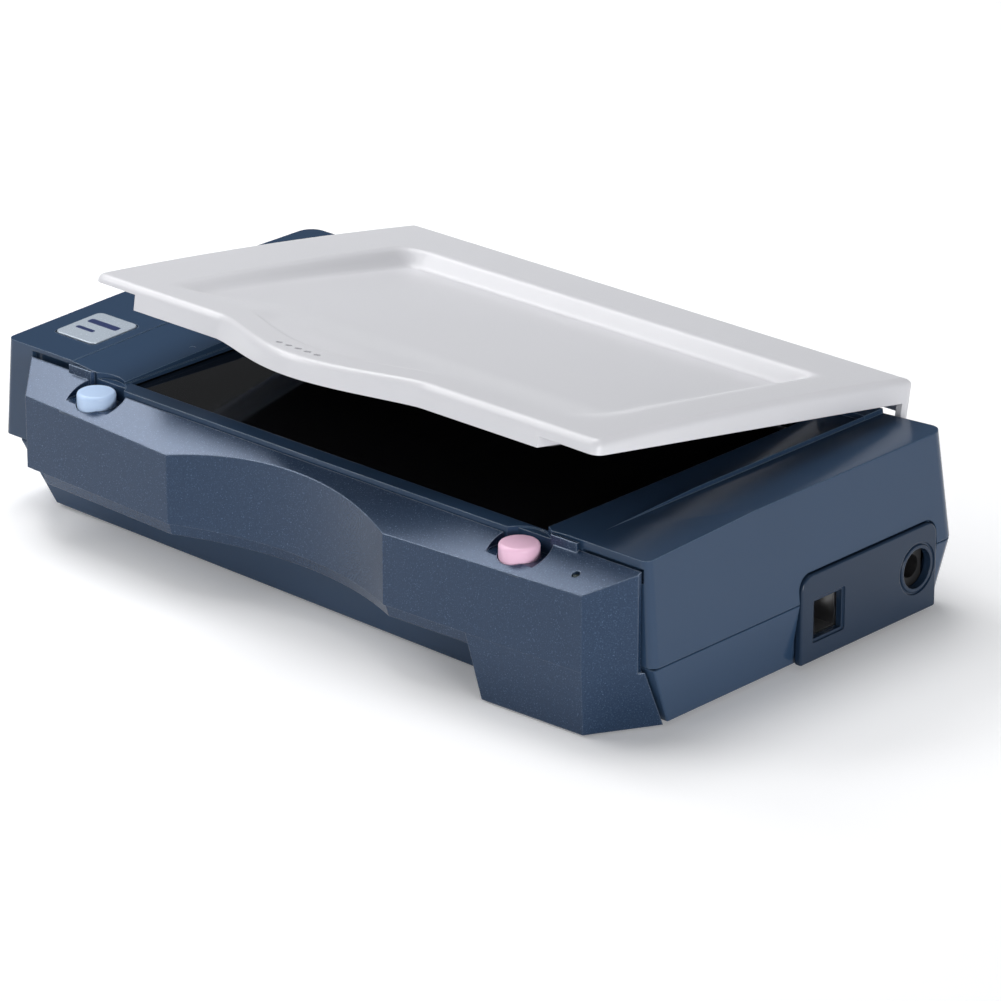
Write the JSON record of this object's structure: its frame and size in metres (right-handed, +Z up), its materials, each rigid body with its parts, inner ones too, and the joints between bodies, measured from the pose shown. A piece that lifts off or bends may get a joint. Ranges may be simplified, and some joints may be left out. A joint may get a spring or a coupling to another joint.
{
  "type": "flatbed scanner",
  "caption": "Small flatbed scanner with a low navy case, scooped front panel with push buttons, tray-shaped lid ajar on rear hinges, and a belt-drawn sensor carriage under the glass.",
  "frame": {"origin": "on the surface the scanner stands on, under the middle of the whole object with its lid ajar", "axes": "+X to the right along the front, +Y from the front to the rear, +Z up"},
  "size_m": [0.2503, 0.1482, 0.0801],
  "materials": {
    "navy_plastic": "fine-grained satin navy",
    "panel_plastic": "fine-grained satin blue-grey with a slight metal sparkle",
    "lid_plastic": "fine-grained satin pale grey",
    "lavender_plastic": "satin lavender",
    "pink_plastic": "satin dusty pink",
    "badge_silver": "silver-blue label, blank",
    "platen_glass": "polished, dark over the unlit inside",
    "black_plastic": "black",
    "white_plastic": "white",
    "mat_foam": "dark foam pad",
    "rubber": "black rubber",
    "steel": "bright steel",
    "brass": "turned brass",
    "circuit_board": "green solder mask",
    "light_pipe": "clear moulded plastic"
  },
  "bodies": {
    "base": {"upper_housing": "navy_plastic", "lower_housing": "navy_plastic", "front_panel": "panel_plastic", "name_badge": "badge_silver", "platen_glass": "platen_glass", "calibration_strip": "white_plastic", "port_panel": "navy_plastic", "usb_shell": "steel", "usb_tongue": "white_plastic", "dc_jack": "black_plastic", "dc_jack_pin": "steel", "main_board": "circuit_board", "scan_processor": "black_plastic", "flex_connector": "white_plastic", "left_button_board": "circuit_board", "right_button_board": "circuit_board", "left_switch": "black_plastic", "right_switch": "black_plastic", "status_led": "white_plastic", "status_light_pipe": "light_pipe", "foot_front_left": "rubber", "foot_front_right": "rubber", "foot_rear_left": "rubber", "foot_rear_right": "rubber", "housing_screw_1": "steel", "housing_screw_2": "steel", "housing_screw_3": "steel", "housing_screw_4": "steel", "left_hinge_bracket": "navy_plastic", "right_hinge_bracket": "navy_plastic", "left_hinge_pin": "steel", "right_hinge_pin": "steel", "drive_motor": "steel", "gear_axle": "steel", "idler_axle": "steel", "timing_belt": "rubber", "guide_rod": "steel", "rod_holder_left": "black_plastic", "rod_holder_right": "black_plastic"},
    "lid": {"lid_shell": "lid_plastic", "document_mat": "mat_foam"},
    "left_button": {"left_button": "lavender_plastic"},
    "right_button": {"right_button": "pink_plastic"},
    "carriage": {"carriage_frame": "black_plastic", "sensor_bar": "black_plastic", "lens_array": "light_pipe", "sensor_spring_front": "steel", "sensor_spring_rear": "steel", "glass_slider_front": "white_plastic", "glass_slider_rear": "white_plastic"},
    "drive_gear": {"drive_gear": "white_plastic"},
    "idler_pulley": {"idler_pulley": "brass"},
    "motor_pinion": {"motor_pinion": "brass"}
  },
  "joints": [
    {"name": "lid_hinge", "type": "hinge", "parent": "base", "child": "lid", "pos_m": [0, 0.0702, 0.046], "axis": [-1, 0, 0], "range_deg": [-10.5, 74.5]},
    {"name": "left_button_press", "type": "slide", "parent": "base", "child": "left_button", "axis": [0, 0, -1], "range_m": [0, 0.001], "stiffness_N_per_m": 200, "springref_m": -0.002},
    {"name": "right_button_press", "type": "slide", "parent": "base", "child": "right_button", "axis": [0, 0, -1], "range_m": [0, 0.001], "stiffness_N_per_m": 200, "springref_m": -0.002},
    {"name": "carriage_travel", "type": "slide", "parent": "base", "child": "carriage", "axis": [1, 0, 0], "range_m": [0, 0.145]},
    {"name": "drive_gear_spin", "type": "hinge", "parent": "base", "child": "drive_gear", "pos_m": [-0.105, -0.0182, 0.02], "axis": [0, 0, 1], "continuous": true},
    {"name": "idler_pulley_spin", "type": "hinge", "parent": "base", "child": "idler_pulley", "pos_m": [0.108, -0.0182, 0.023], "axis": [0, 0, 1], "continuous": true},
    {"name": "motor_pinion_spin", "type": "hinge", "parent": "base", "child": "motor_pinion", "pos_m": [-0.105, -0.0019, 0.019], "axis": [0, 0, 1], "continuous": true}
  ],
  "couplings": [
    {"joint": "drive_gear_spin", "follows": "carriage_travel", "rad_per_m": -172.41},
    {"joint": "idler_pulley_spin", "follows": "carriage_travel", "rad_per_m": -172.41},
    {"joint": "motor_pinion_spin", "follows": "carriage_travel", "rad_per_m": 517.24}
  ]
}
